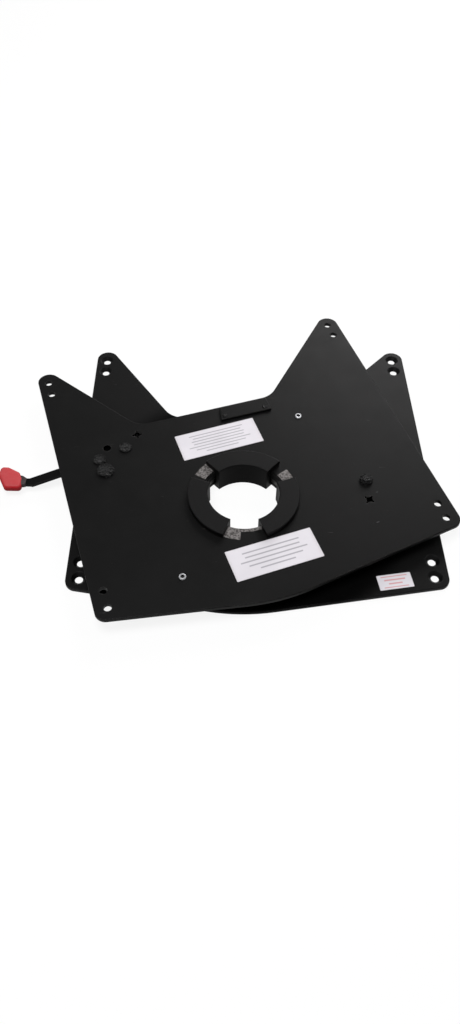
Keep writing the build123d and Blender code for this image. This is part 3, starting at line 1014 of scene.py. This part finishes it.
@dataclass(frozen=True)
class Thread:
    """Screw thread, shown as rings. Pitch and depth are in metres, the others are shares of the pitch."""

    pitch: float = 0.00125
    depth: float = 0.00035
    crest: float = 0.15
    groove: float = 0.5
    rise: float = 0.65

    def shank(self, radius: float, top: float, bottom: float) -> list[Point]:
        """Profile of a threaded shank, from the top down.

        Args:
            radius: Outer radius.
            top: Height where the thread starts.
            bottom: Height of the end.

        Returns:
            Radius and height of each ring.
        """
        root = radius - self.depth
        rings: list[Point] = []
        for turn in range(max(1, int((top - bottom - 2 * self.depth) / self.pitch))):
            start = top - turn * self.pitch
            rings += [(radius, start), (radius, start - self.crest * self.pitch)]
            rings += [(root, start - self.groove * self.pitch), (root, start - self.rise * self.pitch)]
        return rings + [(root, bottom + self.depth), (root - self.depth, bottom), (0.0, bottom)]


@dataclass
class Fasteners(Assembly):
    """Bolts, nuts, rivets and the pivot's small parts. Sizes are in metres, and the flare is a factor."""

    domes: tuple[Dome, ...] = (
        Dome("pivot_bolt", rim=0.16),
        Dome("stop_bolt"),
        Dome("spring_post", shank=0.003),
        Dome("glide_bolt", rim=0.12, fullness=2.2),
    )
    rivet: Dome = Dome("waist_strip_rivets", rim=0.2)
    thread: Thread = Thread()
    neck: float = 0.0001
    socket: float = 0.0020
    socket_flats: int = 6
    socket_depth: float = 0.0040
    socket_flare: float = 1.12
    socket_lip: float = 0.0003
    chamfer: Point = (0.0006, 0.0005)
    weld: float = 1e-7
    sides: int = 72

    def build(self) -> None:
        """Dress the plain fasteners and rebuild the ones that are seen."""
        black = Coat(
            "black_oxide",
            (0.0018, 0.0018, 0.0019),
            worn_and_highlight=(0.06, 0.06, 0.06),
            rough=0.17,
            gloss=0.22,
            wear_and_highlight=0.2,
            grain=0.6,
            lumps=0.0075,
        ).material()
        zinc = Metal("zinc_bright", (0.44, 0.445, 0.46), (0.20, 0.20, 0.21), rough=0.36).material()
        # Painted shade: the sockets' dark finish stands in for the shade inside the recess
        grime_and_shade = Metal("socket_painted_shade", (0.045, 0.044, 0.042), (0.02, 0.019, 0.018), rough=0.6, metallic=0.4)
        for dome in self.domes:
            self.bolt(dome, black)
        self.rivets(black)
        self.screws(zinc, grime_and_shade.material())
        self.dress(["adjuster_nuts"], black, Slot.BLACK)
        self.dress(["pivot_washer", "pivot_sleeve", "pivot_retainer"], zinc, Slot.ZINC)
        self.dress(["pivot_nut", "stop_nut", "glide_nut"], zinc, Slot.ZINC)

    def bolt(self, dome: Dome, material: bpy.types.Material) -> None:
        """Rebuild one domed bolt by turning its profile.

        Args:
            dome: What the bolt looks like.
            material: Its finish.
        """
        low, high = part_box(dome.node)
        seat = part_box("upper_plate")[1].z
        head = dome.head((high.x - low.x) / 2, seat, high.z - seat)
        shank = self.thread.shank(dome.shank, seat - self.neck, low.z)
        mesh = bmesh.new()
        lathe(mesh, middle_of(dome.node), head + [(dome.shank, seat)] + shank)
        piece = from_bmesh(dome.node + "_domed", mesh, [material])
        stand_in(piece, dome.node, Body.TURNTABLE)

    def pair(self, node: str) -> list[tuple[Point, float]]:
        """Find the two round solids of a node.

        Args:
            node: The node's name.

        Returns:
            Middle and radius of each, the left one first.
        """
        middle = middle_of(node)[0]
        found = []
        for side in (-1, 1):
            points = [v.co for v in self.nodes[node].data.vertices if (v.co.x - middle) * side > 0]
            left, right = min(p.x for p in points), max(p.x for p in points)
            front, rear = min(p.y for p in points), max(p.y for p in points)
            found.append((((left + right) / 2, (front + rear) / 2), (right - left) / 2))
        return found

    def rivets(self, material: bpy.types.Material) -> None:
        """Rebuild the two low rivet heads of the strip.

        Args:
            material: Their finish.
        """
        low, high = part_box(self.rivet.node)
        mesh = bmesh.new()
        for centre, radius in self.pair(self.rivet.node):
            lathe(mesh, centre, self.rivet.head(radius, low.z, high.z - low.z) + [(0.0, low.z)])
        piece = from_bmesh("strip_rivets_domed", mesh, [material])
        stand_in(piece, self.rivet.node, Body.TURNTABLE)

    def screws(self, material: bpy.types.Material, grime_and_shade: bpy.types.Material) -> None:
        """Rebuild the two adjuster screws with their hexagon sockets.

        Args:
            material: Their finish.
            grime_and_shade: Finish of the sockets, dark as painted shade in the recess.
        """
        low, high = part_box("adjuster_screws")
        mesh = bmesh.new()
        for centre, radius in self.pair("adjuster_screws"):
            self.screw(mesh, centre, radius, low.z, high.z)
        piece = from_bmesh("adjuster_screws_threaded", mesh, [material, grime_and_shade], smooth=False)
        stand_in(piece, "adjuster_screws", Body.TURNTABLE)

    def screw(self, mesh: bmesh.types.BMesh, centre: Point, radius: float, bottom: float, top: float) -> None:
        """Add one socket screw.

        Args:
            mesh: The bmesh to add to.
            centre: X and Y of its axis.
            radius: Its outer radius.
            bottom: Height of its end.
            top: Height of its top face.
        """
        foot = top - self.socket_depth
        inset, drop = self.chamfer
        shape = (self.sides, self.socket_flats)
        socket = [circle(centre, 0.0, foot, 1), circle(centre, self.socket, foot, *shape)]
        socket.append(circle(centre, self.socket, top - self.socket_lip, *shape))
        outside = [socket[-1], circle(centre, self.socket * self.socket_flare, top, *shape)]
        profile = [(radius - inset, top)] + self.thread.shank(radius, top - drop, bottom)
        outside += [circle(centre, reach, height, self.sides) for reach, height in profile]
        loft(mesh, socket, 1)
        loft(mesh, outside)
        bmesh.ops.remove_doubles(mesh, verts=mesh.verts, dist=self.weld)


@dataclass
class ReturnSpring:
    """Torsion spring on the lever's pivot. Sizes are in metres."""

    wire: float = 0.0012
    coil_radius: float = 0.0086
    pitch: float = 0.00135
    hook_reach: float = 0.034
    hook_rise: float = 0.004
    leg_overrun: float = 0.006
    post_radius: float = 0.003
    play: float = 0.00005
    sides: int = 12
    coil_steps: int = 48
    bend_steps: int = 6
    straight_stops: tuple[float, ...] = (0.25, 0.5, 0.75)

    def build(self) -> None:
        """Wind the spring."""
        steel = Metal("spring_wire", (0.34, 0.34, 0.35), (0.16, 0.15, 0.15), rough=0.3).material()
        path, foot, head = self.path()
        mesh = bmesh.new()
        loft(mesh, self.sections(path))
        piece = from_bmesh("return_spring_wound", mesh, [steel])
        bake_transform(piece)
        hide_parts("return_spring")
        LOG.info("%s replaces return_spring between two bodies", piece.name)

    def path(self) -> tuple[list[Vector], Vector, Vector]:
        """Centre line of the wire, from the leg on the post to the hook on the lever.

        Returns:
            The points, then the foot and the head of the coil on its axis.
        """
        up = Vector((0.0, 0.0, 1.0))
        pivot = Vector((*middle_of("pivot_bolt"), 0.0))
        to_post = Vector((*middle_of("spring_post"), 0.0)) - pivot
        to_latch = Vector((*middle_of("latch_pin"), 0.0)) - pivot
        lateral = self.coil_radius - self.post_radius - self.wire / 2 - self.play
        start = math.atan2(to_post.y, to_post.x) + math.asin(lateral / to_post.length) - math.pi / 2
        end = math.atan2(to_latch.y, to_latch.x) + math.pi / 2
        wound = 2 * math.pi + (start - end) % (2 * math.pi)
        slope = self.pitch / (2 * math.pi * self.coil_radius)
        lever_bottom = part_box("lever_arm")[1].z - self.hook_rise
        top = lever_bottom - self.wire / 2 - self.play - slope * self.hook_reach
        bottom = top - self.pitch * wound / (2 * math.pi)
        steps = int(self.coil_steps * wound / (2 * math.pi))
        coil = []
        for step in range(steps + 1):
            turn = start - wound * step / steps
            spoke = Vector((math.cos(turn), math.sin(turn), 0.0)) * self.coil_radius
            coil.append(pivot + spoke + up * (bottom + (top - bottom) * step / steps))
        leg = self.heading(start, slope) * (to_post.length + self.leg_overrun)
        hook = self.heading(end, slope) * self.hook_reach
        points = [coil[0] - leg * share for share in (1.0, *reversed(self.straight_stops))] + coil
        points += [coil[-1] + hook * share for share in self.straight_stops]
        points += self.bend(coil[-1] + hook, hook.normalized() * self.wire)
        points.append(coil[-1] + hook + up * self.hook_rise)
        return points, pivot + up * bottom, pivot + up * top

    def bend(self, elbow: Vector, inward: Vector) -> list[Vector]:
        """Bend the wire upwards at the end of the hook.

        Args:
            elbow: Corner that the bend rounds off.
            inward: Direction of the hook, as long as the bend's radius.

        Returns:
            The points of the bend.
        """
        upward = Vector((0.0, 0.0, inward.length))
        angles = [math.pi / 2 * step / self.bend_steps for step in range(self.bend_steps + 1)]
        return [elbow - inward * (1 - math.sin(turn)) + upward * (1 - math.cos(turn)) for turn in angles]

    def heading(self, turn: float, slope: float) -> Vector:
        """Direction of the wire at an angle of the coil, one unit long seen from above."""
        return Vector((math.sin(turn), -math.cos(turn), slope))

    def sections(self, path: Sequence[Vector]) -> list[list[Vector]]:
        """Rings of the wire along its centre line.

        Args:
            path: The centre line.

        Returns:
            Rings of points, with one point at each end.
        """
        side = Vector((0.0, 0.0, 1.0))
        rings: list[list[Vector]] = [[path[0]]]
        for index, point in enumerate(path):
            before = path[max(index - 1, 0)]
            after = path[min(index + 1, len(path) - 1)]
            along = (after - before).normalized()
            side = (side - along * side.dot(along)).normalized()
            other = along.cross(side)
            ring = []
            for turn in turns(self.sides):
                ring.append(point + (side * math.cos(turn) + other * math.sin(turn)) * self.wire / 2)
            rings.append(ring)
        rings.append([path[-1]])
        return rings


@dataclass
class Labels(Assembly):
    """The two labels and the small sticker. Sizes are in metres, turns in degrees."""

    label: Point = (0.101, 0.041)
    sticker: Point = (0.0382, 0.019)
    rear_turn: float = 18.7
    front_turn: float = 19.5
    sticker_turn: float = 8.5
    sticker_ink: Colour = (0.55, 0.12, 0.12)

    def build(self) -> None:
        """Dress the label films."""
        rear = Film("film_rear", middle_of("rear_label"), self.rear_turn, *self.label)
        front = Film("film_front", middle_of("front_label"), self.front_turn, *self.label, rows=7)
        sticker = Film(
            "film_sticker",
            middle_of("lower_sticker"),
            self.sticker_turn,
            *self.sticker,
            rows=4,
            ink=self.sticker_ink,
            rule_share=0.4,
        )
        self.dress(["rear_label"], rear.material(), Slot.LABEL)
        self.dress(["front_label"], front.material(), Slot.LABEL)
        self.dress(["lower_sticker"], sticker.material(), Slot.LABEL)


@dataclass
class Lever(Assembly):
    """The lever and its pin."""

    def build(self) -> None:
        """Dress the lever and its pin."""
        coat = Coat("coat_lever", (0.0010, 0.0010, 0.0010), rough=0.45, gloss=0.07, wear_and_highlight=0.3)
        pin = Metal("steel_pin", (0.5, 0.5, 0.5), (0.25, 0.24, 0.23), rough=0.28)
        self.dress(["lever_arm"], coat.material(), Slot.LEVER)
        self.dress(["latch_pin"], pin.material(), Slot.LATCH)


@dataclass
class Knob:
    """Red moulded grip on the tongue of the lever. Its sizes are in millimetres."""

    outline: tuple[Point, ...] = (
        (10.3, -11.3),
        (30.0, -11.7),
        (41.0, 8.0),
        (39.2, 20.3),
        (30.2, 20.0),
        (16.3, 12.8),
        (11.0, 3.0),
    )
    corner: float = 4.5
    corner_points: int = 9
    rounding: float = 3.9
    rounding_steps: int = 8
    drop: float = 3.4
    crown: float = 0.5
    crown_stops: tuple[float, ...] = (0.8, 0.6, 0.4, 0.2)
    throat: tuple[tuple[float, float, float, float], ...] = (
        (6.1, 4.9, 4.9, 2.8),
        (6.5, 5.3, 5.3, 3.4),
        (8.0, 5.7, 6.2, 3.6),
        (10.0, 6.1, 7.6, 3.7),
        (12.0, 6.5, 8.8, 3.7),
        (14.5, 6.8, 9.0, 3.7),
    )
    throat_end: float = 0.4
    throat_points: int = 40
    squareness: float = 0.5
    tongue_start: Point = (-229.0, 105.0)
    tongue_turn: float = 160.0

    def build(self) -> None:
        """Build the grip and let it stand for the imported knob."""
        red = Plastic(
            "red_grip",
            (0.44, 0.014, 0.021),
            (0.45, 0.05, 0.055),
            rough=0.42,
            gloss=0.08,
            grain=0.5,
            rub=0.2,
            # Partly dust, partly a painted sheen on the grip's top faces
            dust_and_sheen_share=0.085,
        ).material()
        sleeve = Plastic("grey_sleeve", (0.034, 0.026, 0.027), (0.09, 0.065, 0.066), rough=0.5, gloss=0.12)
        low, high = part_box("lever_knob")
        middle = (low.z + high.z) / 2 * PER_METRE
        half = (high.z - low.z) / 2 * PER_METRE
        mesh = bmesh.new()
        for finish, rings in enumerate((self.grip_rings(middle, half), self.throat_rings(middle))):
            loft(mesh, [self.place(ring) for ring in rings], finish)
        piece = from_bmesh("lever_knob_moulded", mesh, [red, sleeve.material()])
        stand_in(piece, "lever_knob", Body.LEVER)

    def smooth_plan(self) -> list[Point]:
        """Round the corners of the outline.

        Returns:
            Points of the rounded outline.
        """
        points: list[Point] = []
        corners = [Vector(corner) for corner in self.outline]
        for index, corner in enumerate(corners):
            back = (corners[index - 1] - corner).normalized()
            ahead = (corners[(index + 1) % len(corners)] - corner).normalized()
            half_turn = back.angle(ahead) / 2
            centre = corner + (back + ahead).normalized() * (self.corner / math.sin(half_turn))
            cut = self.corner / math.tan(half_turn)
            first = corner + back * cut - centre
            last = corner + ahead * cut - centre
            for step in range(self.corner_points):
                spoke = first.lerp(last, step / (self.corner_points - 1)).normalized() * self.corner
                points.append(tuple(centre + spoke))
        return points

    def inset(self, plan: Sequence[Point], depth: float) -> list[Point]:
        """Move the outline inwards.

        Args:
            plan: The outline.
            depth: How far to move it.

        Returns:
            The moved outline.
        """
        moved = []
        for index, point in enumerate(plan):
            after = Vector(plan[(index + 1) % len(plan)])
            along = (after - Vector(plan[index - 1])).normalized()
            moved.append((point[0] - along.y * depth, point[1] + along.x * depth))
        return moved

    def grip_rings(self, middle: float, half: float) -> list[list[Space]]:
        """Rings of the grip from its underside to its top.

        Args:
            middle: Height of the middle.
            half: Half the thickness.

        Returns:
            Rings of points, with one point at each end.
        """
        plan = self.smooth_plan()
        mid_x, mid_y = (sum(values) / len(plan) for values in zip(*plan))
        inner = self.inset(plan, self.rounding)
        upper: list[list[Space]] = []
        for step in range(self.rounding_steps + 1):
            turn = math.pi / 2 * step / self.rounding_steps
            height = half - self.crown - self.drop * (1 - math.sin(turn))
            ring = self.inset(plan, self.rounding * (1 - math.cos(turn)))
            upper.append([(x, y, height) for x, y in ring])
        for share in self.crown_stops:
            height = half - self.crown * share**2
            shrunk = [(mid_x + (x - mid_x) * share, mid_y + (y - mid_y) * share) for x, y in inner]
            upper.append([(x, y, height) for x, y in shrunk])
        upper.append([(mid_x, mid_y, half)])
        lower = [[(x, y, -z) for x, y, z in ring] for ring in reversed(upper)]
        return [[(x, y, middle + z) for x, y, z in ring] for ring in lower + upper]

    def throat_rings(self, middle: float) -> list[list[Space]]:
        """Rings of the throat along the tongue.

        Args:
            middle: Height of the middle.

        Returns:
            Rings of points, with one point at each end.
        """
        rings: list[list[Space]] = [[(self.throat[0][0], 0.0, middle)]]
        for reach, front, rear, half in self.throat:
            ring = []
            for turn in turns(self.throat_points):
                side, rise = self.squared(math.cos(turn)), self.squared(math.sin(turn))
                ring.append((reach, side * (rear if side > 0 else front), middle + rise * half))
            rings.append(ring)
        rings.append([(self.throat[-1][0] + self.throat_end, 0.0, middle)])
        return rings

    def squared(self, share: float) -> float:
        """Push a circle's cosine or sine outwards, which makes the circle squarer."""
        return math.copysign(abs(share) ** self.squareness, share)

    def place(self, ring: Sequence[Space]) -> list[Vector]:
        """Bring a ring from the tongue's own axes into the part's frame.

        Args:
            ring: Points as reach, offset to the rear and height, in millimetres.

        Returns:
            Points in metres.
        """
        rest = Matrix.Rotation(math.radians(REST_TURN), 3, "Z")
        turn = Matrix.Rotation(math.radians(self.tongue_turn), 3, "Z")
        start = Vector((*self.tongue_start, 0.0))
        placed = []
        for reach, rear, height in ring:
            level = rest @ (start + turn @ Vector((reach, -rear, 0.0)))
            placed.append((level + Vector((0.0, 0.0, height))) / PER_METRE)
        return placed


@dataclass(frozen=True)
class Lamp:
    """Square area lamp. Places and size are in metres, the power is in watts."""

    name: str
    place: Space
    size: float
    power: float
    aim: Space = (0.0, 0.0, 0.0)
    tint: Colour = (1.0, 1.0, 1.0)

    def hang(self) -> None:
        """Hang the lamp and point it at its aim."""
        light = bpy.data.lights.new(self.name, "AREA")
        light.size = self.size
        light.energy = self.power
        light.color = self.tint
        piece = bpy.data.objects.new(self.name, light)
        bpy.context.scene.collection.objects.link(piece)
        piece.location = self.place
        piece.rotation_euler = (Vector(self.aim) - Vector(self.place)).to_track_quat("-Z", "Y").to_euler()
        LOG.info("%s hung", self.name)


@dataclass
class Studio:
    """Floor, lamps, sky and camera. Places are in metres, turns in degrees."""

    focal_px: float = 859.68
    frame_px: float = 1024.0
    film: float = 36.0
    view: Range = (0.01, 50.0)
    place: Space = (-0.0259127, -0.6234857, 0.7921436)
    turn: Space = (40.8268, -0.39268, -0.46641)
    middle_row: float = 470.0
    sky: float = 0.12
    floor_rings: tuple[float, ...] = (0.0, 0.6, 1.4)
    floor_reach: float = 3.6
    floor_drop: float = 0.0002
    wall_reach: float = 5.2
    wall_height: float = 4.4
    wall_steps: int = 16
    wall_sides: int = 96
    lamps: tuple[Lamp, ...] = (
        Lamp("rear_sheen", (0.75, 1.95, 1.05), 1.2, 29.0, (0.1, 0.1, 0.0), (1.0, 0.985, 0.985)),
        Lamp("top_soft", (-0.4, -0.3, 2.6), 1.4, 66.0),
        Lamp("top_right", (1.6, 0.2, 1.7), 0.7, 4.0),
    )

    def build(self) -> None:
        """Make the whole stage."""
        self.floor()
        for lamp in self.lamps:
            lamp.hang()
        self.world()
        self.camera()
        bpy.context.scene.view_settings.view_transform = "Standard"

    def floor(self) -> None:
        """Lay the floor just under the part and bend it up into a round wall."""
        bend = self.wall_reach - self.floor_reach
        profile: list[Point] = [(reach, 0.0) for reach in (*self.floor_rings, self.floor_reach)]
        for step in range(1, self.wall_steps + 1):
            turn = math.pi / 2 * step / self.wall_steps
            profile.append((self.floor_reach + bend * math.sin(turn), bend * (1 - math.cos(turn))))
        profile.append((self.wall_reach, self.wall_height))
        mesh = bmesh.new()
        lathe(mesh, (0.0, 0.0), profile, self.wall_sides)
        piece = from_bmesh("floor", mesh, [Floor().material()])
        piece.location = (0.0, 0.0, -self.floor_drop)
        LOG.info("floor laid")

    def world(self) -> None:
        """Set an even pale sky."""
        world = bpy.data.worlds.new("studio_sky")
        world.use_nodes = True
        sky = world.node_tree.nodes["Background"]
        sky.inputs["Color"].default_value = (1.0, 1.0, 1.0, 1.0)
        sky.inputs["Strength"].default_value = self.sky
        bpy.context.scene.world = world

    def camera(self) -> None:
        """Place the camera so that the part falls where the photo has it."""
        data = bpy.data.cameras.new("main_camera")
        data.lens = self.film * self.focal_px / self.frame_px
        data.sensor_width = self.film
        data.shift_y = (self.middle_row - self.frame_px / 2) / self.frame_px
        data.dof.use_dof = False
        data.clip_start, data.clip_end = self.view
        piece = bpy.data.objects.new("main_camera", data)
        bpy.context.scene.collection.objects.link(piece)
        piece.location = self.place
        piece.rotation_euler = tuple(math.radians(value) for value in self.turn)
        bpy.context.scene.camera = piece
        LOG.info("camera placed")


def main() -> None:
    """Build the scene piece by piece."""
    logging.basicConfig(level=logging.INFO, format="%(name)s: %(message)s")
    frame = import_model()
    nodes = frame["nodes"]
    parts = (Plates(nodes), Hub(nodes), Fasteners(nodes), ReturnSpring(), Labels(nodes), Lever(nodes), Knob())
    for part in parts:
        part.build()
    Studio().build()


if __name__ == "__main__":
    main()
